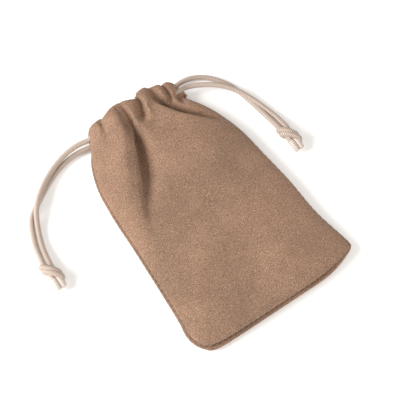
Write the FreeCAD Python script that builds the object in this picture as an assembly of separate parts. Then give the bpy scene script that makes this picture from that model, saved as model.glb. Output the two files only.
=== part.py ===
import FreeCAD, Part
import math
import os

# Drawstring gift pouch of soft suede, lying on its back panel, gathered at the mouth.
# Millimetres. X runs across the pouch, Y from its bottom to its mouth, Z up.
# The origin is under the middle of the pouch, on the surface that it lies on.

V = FreeCAD.Vector

# ---- driving dimensions -------------------------------------------------------------------
LENGTH = 140.0              # the gathered pouch, bottom seam to mouth
SUEDE = 1.0                 # thickness of the suede
SEAM_Z = 4.5                # height of the side and bottom seams
CHANNEL_TALL = 13.0         # drawstring channel, measured along the pouch
NECK_HALF = 28.5            # half the width of the gathered mouth
CORD = 2.8                  # diameter of the drawstrings
MOUTH_GAP = 4.8             # space between the two channels
BACK_CHANNEL_TOP = 5.0      # the back channel lies on the surface
FRONT_CHANNEL_TOP = 18.4
HINGE_GAP = 0.3             # the lip clears the front panel by this much
INNER_WALL = 0.6            # the channels' walls that face each other
INNER_WALL_HALF = 11.0      # those walls stop here, and the cords cross over beyond
SEWN_EDGE = 1.9             # where a channel's two layers are sewn together
CORD_CLEARANCE = 0.3        # between a cord and the channel around it
SEAM_ALLOWANCE = 5.0        # width of the turned-in edges
EDGE_INSET = 0.6            # the turned-in edges lie this far inside the outline
THREAD = 0.5                # diameter of the sewing thread
STITCH = 2.4                # length of a stitch
STITCH_PITCH = 3.2          # from one stitch to the next
STITCH_PLACE = 0.95         # the channel's stitches, from its sewn edge
GROOVE_ROOM = 0.1           # the stitches' groove is wider than the thread by this, each side
LEG_SPACE = 12.5            # beyond here the front sewn edge is a short flange,
FLANGE_LOW = 15.2           # down to this height, to leave room for the cords' legs
FRONT_LIP_ROUND = 2.4       # roundings along the mouth's edge, outside and inside the sleeve
FRONT_SLEEVE_ROUND = 1.4
BACK_LIP_ROUND = 1.2
BACK_SLEEVE_ROUND = 0.4

TOP = LENGTH / 2.0
BOTTOM = -LENGTH / 2.0
CHANNEL_START = TOP - CHANNEL_TALL
CORD_RADIUS = CORD / 2.0
FRONT_CHANNEL_LOW = BACK_CHANNEL_TOP + MOUTH_GAP
FRONT_RUN_Z = FRONT_CHANNEL_TOP - SUEDE - CORD_RADIUS - CORD_CLEARANCE
BACK_RUN_Z = SUEDE + CORD_RADIUS + CORD_CLEARANCE
NEAR_RUN_Y = CHANNEL_START + 4.7      # the run nearer to the pouch's body
FAR_RUN_Y = CHANNEL_START + 8.7       # the run nearer to the mouth's edge
EDGE_THICK = SUEDE * 0.9              # a turned-in edge, pressed thin by its stitches
BIGHT_X = NECK_HALF - 3.0             # where a cord turns back at the far side

# Places along the pouch: distance from the bottom, half the width, underside, top.
# The underside dips just below the surface, and is then cut off flat.
PROFILE = (
    (0.0, 43.5, SEAM_Z - SUEDE, SEAM_Z + SUEDE),
    (3.5, 48.0, 1.2, 8.0),
    (10.0, 49.6, -0.3, 10.6),
    (25.0, 48.4, -0.3, 13.0),
    (55.0, 46.4, -0.3, 14.4),
    (80.0, 45.0, -0.3, 15.0),
    (98.0, 42.6, -0.3, 15.6),
    (112.0, 37.6, -0.3, 16.6),
    (122.0, 32.6, -0.3, 17.8),
    (127.0, 30.0, -0.3, FRONT_CHANNEL_TOP),
)
SECTION_POINTS = 12         # steps round one outline across the pouch
BACK_ROUND = 7.0            # how far in from the seam the back panel starts to curve up
BACK_FULLNESS = 0.6         # how squarely it does so, from 0 to 1
END_WALL = 1.6              # thickness of the closed end at the bottom seam
FULLNESS = 2.6              # 2 is an ellipse across, more is squarer

# ---- drawstring routes --------------------------------------------------------------------
# Each goes from the knot along the front leg, through the front channel, round the turn at
# the far side, back through the back channel and along the back leg to the knot.
RIGHT_ROUTE = (
    (62.4, 11.0, 4.6),
    (61.9, 18.5, 3.2),
    (59.9, 27.5, 2.0),
    (56.4, 37.0, 2.6),
    (51.6, 46.0, 4.8),
    (45.2, 54.0, 7.2),
    (37.0, 59.2, 8.8),
    (28.0, 60.2, 10.6),
    (17.5, NEAR_RUN_Y, FRONT_RUN_Z),
    (-4.0, NEAR_RUN_Y + 0.4, FRONT_RUN_Z),
    (-BIGHT_X, NEAR_RUN_Y, FRONT_RUN_Z),
    (-BIGHT_X, FAR_RUN_Y, BACK_RUN_Z),
    (-4.0, FAR_RUN_Y + 0.4, BACK_RUN_Z),
    (18.0, FAR_RUN_Y + 0.2, BACK_RUN_Z),
    (36.0, FAR_RUN_Y - 1.0, BACK_RUN_Z),
    (43.0, 57.6, 1.8),
    (47.2, 49.0, 1.6),
    (51.2, 40.0, 1.5),
    (54.8, 31.0, 1.5),
    (57.6, 21.0, 2.2),
    (59.2, 11.0, 4.6),
)
LEFT_ROUTE = (
    (-85.6, 15.6, 4.6),
    (-84.0, 23.0, 3.0),
    (-80.6, 33.0, 2.4),
    (-77.2, 42.0, 4.4),
    (-70.0, 50.4, 4.8),
    (-61.6, 56.4, 4.8),
    (-51.6, 60.4, 5.2),
    (-41.0, 62.6, 7.0),
    (-30.4, 67.4, 9.4),
    (-18.0, FAR_RUN_Y, FRONT_RUN_Z),
    (4.0, FAR_RUN_Y + 0.4, FRONT_RUN_Z),
    (BIGHT_X, FAR_RUN_Y, FRONT_RUN_Z),
    (BIGHT_X, NEAR_RUN_Y, BACK_RUN_Z),
    (4.0, NEAR_RUN_Y - 0.4, BACK_RUN_Z),
    (-18.0, NEAR_RUN_Y, BACK_RUN_Z),
    (-35.0, NEAR_RUN_Y - 0.4, BACK_RUN_Z),
    (-45.0, 58.8, 1.7),
    (-55.0, 55.2, 1.5),
    (-65.0, 51.4, 1.5),
    (-75.6, 46.6, 1.5),
    (-83.2, 38.0, 1.5),
    (-87.4, 27.4, 2.6),
    (-88.8, 15.6, 4.6),
)

# ---- knots: two turns of the doubled cord, then two short ends -----------------------------
KNOT_LONG = 9.0
KNOT_RADIUS = 4.4
KNOT_WAIST = 3.6
KNOT_NOTCH = 0.3            # the middle of the knot is this much wider than its ends
END_LONG = 6.5
END_HIDDEN = 2.0            # the stretch of each end inside the knot, cut off there
END_ROUND = 0.5             # the heat-sealed rim of a cut end
END_GAP = 0.15              # half the space between the two ends
END_SPREAD = 14.0           # degrees that the two cut ends splay apart
END_DROOP = 22.0            # degrees that they point down


def rounded_side(place, half_width, height, first, last):
    """Points of a rounded quarter or half outline across the pouch, height from the seam."""
    points = []
    for step in range(SECTION_POINTS + 1):
        turn = first + (last - first) * step / SECTION_POINTS
        across, up = math.cos(turn), math.sin(turn)
        x = math.copysign(abs(across) ** (2.0 / FULLNESS), across) * half_width
        z = SEAM_Z + math.copysign(abs(up) ** (2.0 / FULLNESS), up) * height
        points.append(V(x, BOTTOM + place, z))
    return points


def front_section(place, half_width, low, high, inset):
    """The front panel's outline across the pouch, closed straight across at the seam."""
    points = rounded_side(place, half_width - inset, high - SEAM_Z - inset, 0.0, math.pi)
    curve = Part.BSplineCurve()
    curve.interpolate(points)
    return Part.Wire([curve.toShape(), Part.LineSegment(points[-1], points[0]).toShape()])


def back_section(place, half_width, low, high, inset):
    """The back panel's outline: flat underneath, round up to the seam at both sides."""
    seam_half = half_width - inset
    flat_half = seam_half - BACK_ROUND
    floor = low if inset == 0.0 else min(max(low, 0.0) + inset, SEAM_Z - SUEDE)
    y = BOTTOM + place
    side = [
        V(flat_half, y, floor),
        V(flat_half + BACK_ROUND * BACK_FULLNESS, y, floor),
        V(seam_half, y, SEAM_Z - (SEAM_Z - floor) * BACK_FULLNESS),
        V(seam_half, y, SEAM_Z),
    ]
    right = Part.BezierCurve()
    right.setPoles(side)
    left = Part.BezierCurve()
    left.setPoles([V(-point.x, point.y, point.z) for point in reversed(side)])
    across = Part.LineSegment(V(seam_half, y, SEAM_Z), V(-seam_half, y, SEAM_Z))
    flat = Part.LineSegment(V(-flat_half, y, floor), V(flat_half, y, floor))
    return Part.Wire([right.toShape(), across.toShape(), left.toShape(), flat.toShape()])


def half_body(section, inset):
    """The filled shape of the front or the back half of the pouch's body."""
    wires = []
    for place, half_width, low, high in PROFILE:
        along = max(place, END_WALL) if inset > 0.0 else place
        wires.append(section(along, half_width, low, high, inset))
    return Part.makeLoft(wires, True, True)


def side_points(inset):
    """The right side of the pouch seen from above, moved in by inset, bottom edge included."""
    points = []
    for place, half_width, low, high in PROFILE:
        along = max(BOTTOM + place, BOTTOM + inset + place * 0.5)
        points.append(V(half_width - inset, along, 0.0))
    return points


def outline_face(inset, end):
    """The pouch's outline seen from above as a flat face, cut straight at the neck."""
    right = side_points(inset)
    left = [V(-point.x, point.y, 0.0) for point in reversed(right)]
    right_curve = Part.BSplineCurve()
    right_curve.interpolate(right)
    left_curve = Part.BSplineCurve()
    left_curve.interpolate(left)
    neck = Part.LineSegment(right[-1], left[0])
    bottom = Part.LineSegment(left[-1], right[0])
    wire = Part.Wire([right_curve.toShape(), neck.toShape(), left_curve.toShape(), bottom.toShape()])
    face = Part.Face(wire)
    beyond = Part.makePlane(2 * LENGTH, LENGTH, V(-LENGTH, end, 0.0))
    return face.cut(beyond)


def seam_edge(low, end):
    """The turned-in edge of one panel, a strip round the sides and the bottom."""
    outer = outline_face(EDGE_INSET, end)
    inner = outline_face(EDGE_INSET + SEAM_ALLOWANCE, end + 1.0)
    strip = outer.cut(inner)
    strip.translate(V(0.0, 0.0, low))
    return strip.extrude(V(0.0, 0.0, EDGE_THICK))


def panels():
    """The front and back panels, with their turned-in edges meeting at the seam."""
    front_end = CHANNEL_START - HINGE_GAP
    beyond = Part.makeBox(2 * LENGTH, 20.0, 60.0, V(-LENGTH, front_end, -20.0))
    front = half_body(front_section, 0.0).cut(half_body(front_section, SUEDE)).cut(beyond)
    front = front.fuse(seam_edge(SEAM_Z, front_end)).removeSplitter()
    under = Part.makeBox(2 * LENGTH, 2 * LENGTH, 20.0, V(-LENGTH, -LENGTH, -20.0))
    back = half_body(back_section, 0.0).cut(under).cut(half_body(back_section, SUEDE))
    back = back.fuse(seam_edge(SEAM_Z - EDGE_THICK, CHANNEL_START)).removeSplitter()
    return front, back


def stitch(start, direction):
    """One stitch: a short piece of thread with rounded ends."""
    rod = Part.makeCylinder(THREAD / 2.0, STITCH, start, direction)
    for end in (start, start + direction * STITCH):
        rod = rod.fuse(Part.makeSphere(THREAD / 2.0, end))
    return rod.removeSplitter()


def stitch_row(curve, height, first, last):
    """Stitches laid end to end along a curve, between two lengths along it."""
    stitches = []
    along = first
    while along + STITCH < last:
        here = curve.value(curve.parameterAtDistance(along, curve.FirstParameter))
        there = curve.value(curve.parameterAtDistance(along + STITCH, curve.FirstParameter))
        direction = there.sub(here)
        direction.normalize()
        stitches.append(stitch(V(here.x, here.y, height), direction))
        along += STITCH_PITCH
    return Part.makeCompound(stitches)


def seam_threads():
    """The three rows of stitches that close the sides and the bottom."""
    height = SEAM_Z + EDGE_THICK + THREAD / 2.0
    inset = EDGE_INSET + SEAM_ALLOWANCE * 0.55
    right = side_points(inset)
    right_curve = Part.BSplineCurve()
    right_curve.interpolate(right)
    left_curve = Part.BSplineCurve()
    left_curve.interpolate([V(-point.x, point.y, 0.0) for point in right])
    side_length = right_curve.length()
    bottom_curve = Part.LineSegment(V(-right[0].x, right[0].y, 0.0), V(right[0].x, right[0].y, 0.0))
    row = stitch_row(bottom_curve, height, 3.0, bottom_curve.length() - 3.0)
    return (
        stitch_row(left_curve, height, 2.0, side_length - 4.0),
        stitch_row(right_curve, height, 2.0, side_length - 4.0),
        row,
    )


def channel_bar(low, high, sewn_edge, other_wall, round_by):
    """A bar across the mouth, its long edges rounded on the side away from the pouch."""
    inset = sewn_edge > 0.0
    half = NECK_HALF + (5.0 if inset else 0.0)
    tall = CHANNEL_TALL - sewn_edge - other_wall
    bar = Part.makeBox(2 * half, tall, high - low, V(-half, CHANNEL_START + sewn_edge, low))
    far = [
        edge for edge in bar.Edges
        if abs(edge.tangentAt(edge.FirstParameter).x) > 0.9 and edge.CenterOfMass.y > TOP - 2.0
    ]
    return bar.makeFillet(round_by, far)


def at_both_sides(start, end, y_start, y_end, low, high):
    """A pair of boxes, one at each side of the mouth."""
    boxes = []
    for left in (-end, start):
        boxes.append(Part.makeBox(end - start, y_end - y_start, high - low, V(left, y_start, low)))
    return boxes


def stitch_groove(top):
    """The dent along a sewn edge that its stitches sit in."""
    place = CHANNEL_START + STITCH_PLACE
    return Part.makeBox(
        2 * NECK_HALF, THREAD + 2 * GROOVE_ROOM, THREAD + GROOVE_ROOM / 2.0,
        V(-NECK_HALF, place - THREAD / 2.0 - GROOVE_ROOM, top - THREAD - GROOVE_ROOM / 2.0))


def front_channel():
    """The front sleeve, open at both sides and open below beyond its inner wall."""
    cavity_top = FRONT_CHANNEL_TOP - SUEDE
    outer = channel_bar(FRONT_CHANNEL_LOW, FRONT_CHANNEL_TOP, 0.0, 0.0, FRONT_LIP_ROUND)
    cavity_low = FRONT_CHANNEL_LOW + INNER_WALL
    inner = channel_bar(cavity_low, cavity_top, SEWN_EDGE, SUEDE, FRONT_SLEEVE_ROUND)
    sleeve = outer.cut(inner).cut(stitch_groove(FRONT_CHANNEL_TOP))
    side = NECK_HALF + 1.0
    inner_start = CHANNEL_START + SEWN_EDGE
    space_top = cavity_top - FRONT_SLEEVE_ROUND
    for space in at_both_sides(INNER_WALL_HALF, side, inner_start, TOP - SUEDE, 0.0, space_top):
        sleeve = sleeve.cut(space)
    legs_start, legs_end = CHANNEL_START - 1.0, inner_start + 1.0
    for space in at_both_sides(LEG_SPACE, side, legs_start, legs_end, 0.0, FLANGE_LOW):
        sleeve = sleeve.cut(space)
    return sleeve


def back_channel():
    """The back sleeve, flat underneath and open above beyond its inner wall."""
    cavity_top = BACK_CHANNEL_TOP - INNER_WALL
    outer = channel_bar(0.0, BACK_CHANNEL_TOP, 0.0, 0.0, BACK_LIP_ROUND)
    inner = channel_bar(SUEDE, cavity_top, SEWN_EDGE, SUEDE, BACK_SLEEVE_ROUND)
    sleeve = outer.cut(inner).cut(stitch_groove(BACK_CHANNEL_TOP))
    side = NECK_HALF + 1.0
    inner_start = CHANNEL_START + SEWN_EDGE
    for space in at_both_sides(INNER_WALL_HALF, side, inner_start, TOP - SUEDE, SUEDE + 0.5, 8.0):
        sleeve = sleeve.cut(space)
    return sleeve


def channel_stitches(top):
    """The row that sews a channel's two layers together, sunk to the suede's surface."""
    place = CHANNEL_START + STITCH_PLACE
    row = Part.LineSegment(V(-NECK_HALF, place, 0.0), V(NECK_HALF, place, 0.0))
    return stitch_row(row, top - THREAD / 2.0, 1.2, 2 * NECK_HALF - 1.0)


def smooth_tube(route, name):
    """A cord along straight runs joined by tangent arcs."""
    points = [V(*point) for point in route]
    runs = [points[i + 1].sub(points[i]).Length for i in range(len(points) - 1)]
    edges = []
    radii = []
    start = points[0]
    for i in range(1, len(points) - 1):
        before = points[i].sub(points[i - 1])
        after = points[i + 1].sub(points[i])
        turn = before.getAngle(after)
        reach = 0.45 * min(runs[i - 1], runs[i])
        radii.append(reach / math.tan(turn / 2.0))
        before.normalize()
        after.normalize()
        arc_start = points[i].sub(before * reach)
        arc_end = points[i].add(after * reach)
        inward = after.sub(before)
        inward.normalize()
        depth = radii[-1] * (1.0 / math.cos(turn / 2.0) - 1.0)
        middle = points[i].add(inward * depth)
        edges.append(Part.LineSegment(start, arc_start).toShape())
        edges.append(Part.Arc(arc_start, middle, arc_end).toShape())
        start = arc_end
    edges.append(Part.LineSegment(start, points[-1]).toShape())
    path = Part.Wire(edges)
    section = Part.Wire([Part.makeCircle(CORD_RADIUS, points[0], points[1].sub(points[0]))])
    tube = path.makePipeShell([section], True, True)
    expected = math.pi * CORD_RADIUS ** 2 * path.Length
    print(name, "length %.1f" % path.Length, "volume over expected %.4f" % (tube.Volume / expected))
    print(name, "radii", " ".join("%.1f" % radius for radius in radii))
    print(name, "runs", " ".join("%.1f" % run for run in runs))
    return tube


def knot_place(route):
    """The point between a drawstring's two ends, where its knot starts."""
    return V(*route[0]).add(V(*route[-1])) * 0.5


def knot(route):
    """The knot: a waisted barrel, two turns of cord wide, lying along -Y from the legs."""
    half = KNOT_LONG / 2.0
    profile = [
        V(0.0, 0.0, 0.0), V(KNOT_WAIST, 0.0, 0.0), V(KNOT_RADIUS, half * 0.5, 0.0),
        V(KNOT_WAIST + KNOT_NOTCH, half, 0.0), V(KNOT_RADIUS, half * 1.5, 0.0),
        V(KNOT_WAIST, KNOT_LONG, 0.0), V(0.0, KNOT_LONG, 0.0),
    ]
    edges = [Part.LineSegment(profile[0], profile[1]).toShape()]
    edges.append(Part.Arc(profile[1], profile[2], profile[3]).toShape())
    edges.append(Part.Arc(profile[3], profile[4], profile[5]).toShape())
    edges.append(Part.LineSegment(profile[5], profile[6]).toShape())
    edges.append(Part.LineSegment(profile[6], profile[0]).toShape())
    barrel = Part.Face(Part.Wire(edges)).revolve(V(0, 0, 0), V(0, 1, 0), 360.0)
    barrel.translate(knot_place(route).sub(V(0.0, KNOT_LONG, 0.0)))
    return barrel


def cord_ends(route):
    """The two cut ends past the knot, splayed and drooping to the surface."""
    ends = []
    foot = knot_place(route).sub(V(0.0, KNOT_LONG, 0.0))
    for side in (-1.0, 1.0):
        swing = math.radians(END_SPREAD) * side
        droop = math.radians(END_DROOP)
        direction = V(math.sin(swing), -math.cos(swing) * math.cos(droop), -math.sin(droop))
        middle = foot.add(V(side * (CORD_RADIUS + END_GAP), 0.0, 0.0))
        start = middle.sub(direction * END_HIDDEN)
        end = Part.makeCylinder(CORD_RADIUS, END_LONG + END_HIDDEN, start, direction)
        tip = [edge for edge in end.Edges if edge.CenterOfMass.sub(start).Length > END_LONG]
        end = end.makeFillet(END_ROUND, [edge for edge in tip if edge.Closed])
        behind = Part.makeBox(20.0, 20.0, 20.0, V(foot.x - 10.0, foot.y, foot.z - 10.0))
        ends.append(end.cut(behind))
    return Part.makeCompound(ends)


def build():
    """Every piece of the pouch, by the name of its node."""
    front, back = panels()
    left_seam, right_seam, bottom_seam = seam_threads()
    return {
        "front_panel": front,
        "back_panel": back,
        "left_side_seam": left_seam,
        "right_side_seam": right_seam,
        "bottom_seam": bottom_seam,
        "front_channel": front_channel(),
        "back_channel": back_channel(),
        "front_channel_stitches": channel_stitches(FRONT_CHANNEL_TOP),
        "back_channel_stitches": channel_stitches(BACK_CHANNEL_TOP),
        "left_cord": smooth_tube(LEFT_ROUTE, "left_cord"),
        "left_knot": knot(LEFT_ROUTE),
        "left_cord_ends": cord_ends(LEFT_ROUTE),
        "right_cord": smooth_tube(RIGHT_ROUTE, "right_cord"),
        "right_knot": knot(RIGHT_ROUTE),
        "right_cord_ends": cord_ends(RIGHT_ROUTE),
    }


os.makedirs("parts", exist_ok=True)
for name, shape in build().items():
    box = shape.BoundBox
    print(
        name, shape.ShapeType, "solids", len(shape.Solids), "valid", shape.isValid(),
        "volume %.1f" % shape.Volume,
        "x %.1f %.1f y %.1f %.1f z %.2f %.2f" % (box.XMin, box.XMax, box.YMin, box.YMax, box.ZMin, box.ZMax),
    )
    shape.exportStep(os.path.join("parts", name + ".step"))
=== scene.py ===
import bpy
import math
import numpy as np
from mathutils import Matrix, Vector


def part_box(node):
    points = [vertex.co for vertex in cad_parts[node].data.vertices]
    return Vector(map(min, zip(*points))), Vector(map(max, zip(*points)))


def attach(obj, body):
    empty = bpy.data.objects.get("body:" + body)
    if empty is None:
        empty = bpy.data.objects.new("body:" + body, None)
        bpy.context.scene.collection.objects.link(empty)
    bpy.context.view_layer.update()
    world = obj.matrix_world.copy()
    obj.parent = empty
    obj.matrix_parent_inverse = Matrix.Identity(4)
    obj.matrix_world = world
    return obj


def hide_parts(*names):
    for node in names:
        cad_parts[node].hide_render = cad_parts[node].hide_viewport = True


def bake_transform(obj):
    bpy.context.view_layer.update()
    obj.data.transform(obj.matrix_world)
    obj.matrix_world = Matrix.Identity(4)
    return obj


# Looks of the suede gift pouch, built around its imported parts.
# Shapes are worked out in millimetres, in the frame's axes, and turned into metres when a mesh
# is made: X across the pouch, Y from its bottom to its mouth, Z up from the surface it lies on.

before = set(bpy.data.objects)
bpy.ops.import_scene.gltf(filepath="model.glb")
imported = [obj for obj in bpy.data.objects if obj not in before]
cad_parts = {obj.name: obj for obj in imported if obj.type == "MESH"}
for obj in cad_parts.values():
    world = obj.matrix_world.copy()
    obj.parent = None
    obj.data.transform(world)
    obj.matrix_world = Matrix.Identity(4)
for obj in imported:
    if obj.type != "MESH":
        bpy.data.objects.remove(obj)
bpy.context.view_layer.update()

MM = 0.001


def box_mm(node):
    """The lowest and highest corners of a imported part, in millimetres."""
    low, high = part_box(node)
    return np.array(low) / MM, np.array(high) / MM


# ---- places taken from the frame -----------------------------------------------------------
BOTTOM = box_mm("back_panel")[0][1]              # the bottom seam
SEWN_Y = box_mm("front_channel")[0][1]           # the channels are sewn along here
SEAM_Z = box_mm("front_panel")[0][2]             # height of the side and bottom seams

# ---- suede: shape --------------------------------------------------------------------------
THICKNESS = 0.9
INNER_THICKNESS = 0.8 * THICKNESS
NECK_HALF = 29.0            # half the width of the mouth
FRONT_PROFILE = 3.0         # 2 is an ellipse across, more is squarer
BACK_PROFILE = 12.0
FRONT_CROWN = 0.56          # the powers that round a section off: less is fuller
BACK_CROWN = 0.5
BOTTOM_ROUND = 4.0          # the front curves down to the bottom seam over this distance
BACK_BOTTOM_ROUND = 2.5
BOTTOM_CURVE = 2.4          # the power of that curve
BACK_BOTTOM_CURVE = 2.0
FOLD_ROOM = 1.4             # folds fade out where the section is under 1 / FOLD_ROOM of its height
LIP_PUFF = 0.5              # the lip stands up past the sewn line by this much
LIP_PUFF_REACH = 4.0
BRINK_PLACE = 1.6           # a fold's brink lies this many widths from its middle
BRINK_SOFT = 0.9

# The sewn line of the channels.
STITCH_LINE_Y = SEWN_Y + 0.9
STITCH_SINK = 0.22          # how deep the stitches pull the suede in
STITCH_SINK_REACH = 0.9

# The groove along the side and bottom seams.
SEAM_INSET = 1.2            # how deep it is
SEAM_BAND = 1.3             # how far up and down from the seam it reaches
# The suede is darkened with painted shade in the groove along the seams.
GROOVE_SHADE = 0.8          # how far from the seam the suede is darkened
FRONT_BULGE = 0.2           # how far the front and the back stand out past the outline
BACK_BULGE = 1.5
PUCKER = 0.16               # how much each stitch gathers the groove
SIDE_POWER = 8              # how close to the side the groove keeps
BOTTOM_REACH = 3.0          # how far from the bottom it reaches
GROOVE_END = (SEWN_Y - 4.0, SEWN_Y + 2.0)        # it fades out between these, towards the mouth

# The fold along the mouth, and the channels' inner layers behind it.
EDGE_ROLL = 1.4             # radius of the fold
EDGE_STEPS = 8
FRONT_LAYER_Z = 6.6         # the inner layers lie at these heights
BACK_LAYER_Z = 5.4
FRONT_RIPPLE = (0.5, 9.0)   # height and spacing of their ripples
BACK_RIPPLE = (0.3, 8.0)
LAYER_GAP = 2.2             # between a channel's two layers where they are sewn
LAYER_END_Y = SEWN_Y + 0.5
LAYER_SIDE_REACH = 5.0      # an inner layer meets the fold over this distance from each side
WALL_SHARE = 0.2            # the part of an inner layer that is the wall behind the cords
SEWN_SHARE = 0.75           # from here on, the rest of it goes down to the sewn line

# ---- suede: grid of points -----------------------------------------------------------------
COLUMNS = 201
LOW_LENGTH = 8.0            # rows lie closer together over this distance from the bottom
LOW_ROWS = 22
ROW_STEP = 0.9
LIP_START = 34.0            # the rows that follow the mouth's edge start here
LIP_ROWS = 66
INNER_ROWS = 26

# ---- thread --------------------------------------------------------------------------------
STITCH_PITCH = 3.2
STITCH_LONG = 2.1
STITCH_BOW = 0.45           # how far a stitch rises between its ends
STITCH_DIP = 0.3            # how deep its ends lie
THREAD_RADIUS = 0.22
THREAD_SIDES = 8
SEAM_HIDE = 1.0             # the seams' thread lies this far inside the outline
FINE_STEP = 0.2             # spacing of the points that a row of stitches is cut from
CHANNEL_SEAM = (-27.0, 24.5)    # where the channels' stitches start and stop, across the pouch
SIDE_SEAM_TOP = SEWN_Y - 6.0
BOTTOM_SEAM_TOP = BOTTOM + 9.0

# ---- cords ---------------------------------------------------------------------------------
CORD_RADIUS = 1.55
CORD_SIDES = 20
RIB_PITCH = 0.9             # the knitted ribs, along the cord
RIB_DEPTH = 0.1
RIB_STEPS = 5
RIB_SLANT = 0.9             # how far the ribs run along the cord, in pitches, from side to side
RIB_TURNS = 4.0             # each rib changes its slant this many times around
CAP_LENGTH = 0.7            # a rounded end's length, in radii
CAP_FLAT = 0.12             # how wide its tip is, in radii

# ---- knots ---------------------------------------------------------------------------------
KNOT_STRAND = 1.65          # pulled tight, the strands bulge a little
KNOT_START = 0.6            # its strands begin this far up the legs
KNOT_LENGTH = 10.0
KNOT_MIDDLE = -4.6
LEG_GAP = 1.6               # half the distance between the legs, then between them in the knot
KNOT_CORE_GAP = 1.15
CORE_RISE = 0.4             # one leg passes this far above the middle, the other below it
WRAP_TURN = 450.0           # degrees that a wrap goes round
WRAP_OFFSET = 1.4           # half the distance between the two wraps
WRAP_REACH = (3.1, 2.5)     # half the size of a wrap, across the knot and up
WRAP_END = 0.16             # the part of a wrap that comes out of the core, at each end
KNOT_TILT = 3.0             # how steeply the wraps lie across the knot
KNOT_ADVANCE = 4.2          # how far each wrap moves along it
SEALED_STRAND = 1.8         # the melted ends are thicker than the cord
KNOT_FOOT = 9.4             # the knot's foot lies this far down from where the legs enter it
SEALED_START = 1.0          # the sealed ends begin this far inside the knot
SEALED_LENGTH = 6.4
SEALED_DROP = 1.8
SEALED_GAP = 1.3            # half the distance between them, and how far they spread
SEALED_SPREAD = 0.2

# ---- camera, in metres and millimetres of lens ---------------------------------------------
CAMERA_AZIMUTH = math.radians(-34.3)
CAMERA_ELEVATION = math.radians(66.0)
CAMERA_DISTANCE = 0.64
CAMERA_TARGET = Vector((-0.0012, 0.0015, 0.005))
CAMERA_LENS = 108.8
SENSOR_WIDTH = 36.0
FLOOR_HALF = 3.0
FLOOR_DROP = 0.0001         # just under the pouch, so that the two don't share a plane

# ---- outline, folds and routes, in millimetres ---------------------------------------------
# The outline from above: distance from the bottom, then half the width to that side.
LEFT_SIDE = (
    (0.0, 36.0), (1.0, 41.0), (3.0, 44.4), (6.0, 46.9), (11.5, 48.6), (22.0, 47.6), (37.0, 46.6),
    (68.0, 45.0), (92.0, 44.0), (108.0, 42.0), (121.0, 37.6), (128.0, 34.0), (134.0, 31.2),
    (140.0, 29.4),
)
RIGHT_SIDE = (
    (0.0, 22.0), (0.5, 29.0), (1.5, 36.0), (2.9, 42.4), (4.4, 47.2), (6.2, 49.6), (9.0, 49.8),
    (14.0, 49.0), (30.0, 46.2), (56.0, 45.0), (75.0, 43.1), (94.0, 40.8), (111.0, 35.4),
    (118.0, 31.8), (123.0, 28.6), (127.0, 26.2), (130.0, 27.0), (133.0, 27.6), (140.0, 27.0),
)
# How far the front rises above the seams: distance from the bottom, height.
FRONT_RISE = (
    (0.0, 3.6), (6.0, 4.6), (18.0, 6.2), (40.0, 7.6), (80.0, 8.6), (100.0, 9.6), (115.0, 10.8),
    (127.0, 11.4), (140.0, 11.0),
)
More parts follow.
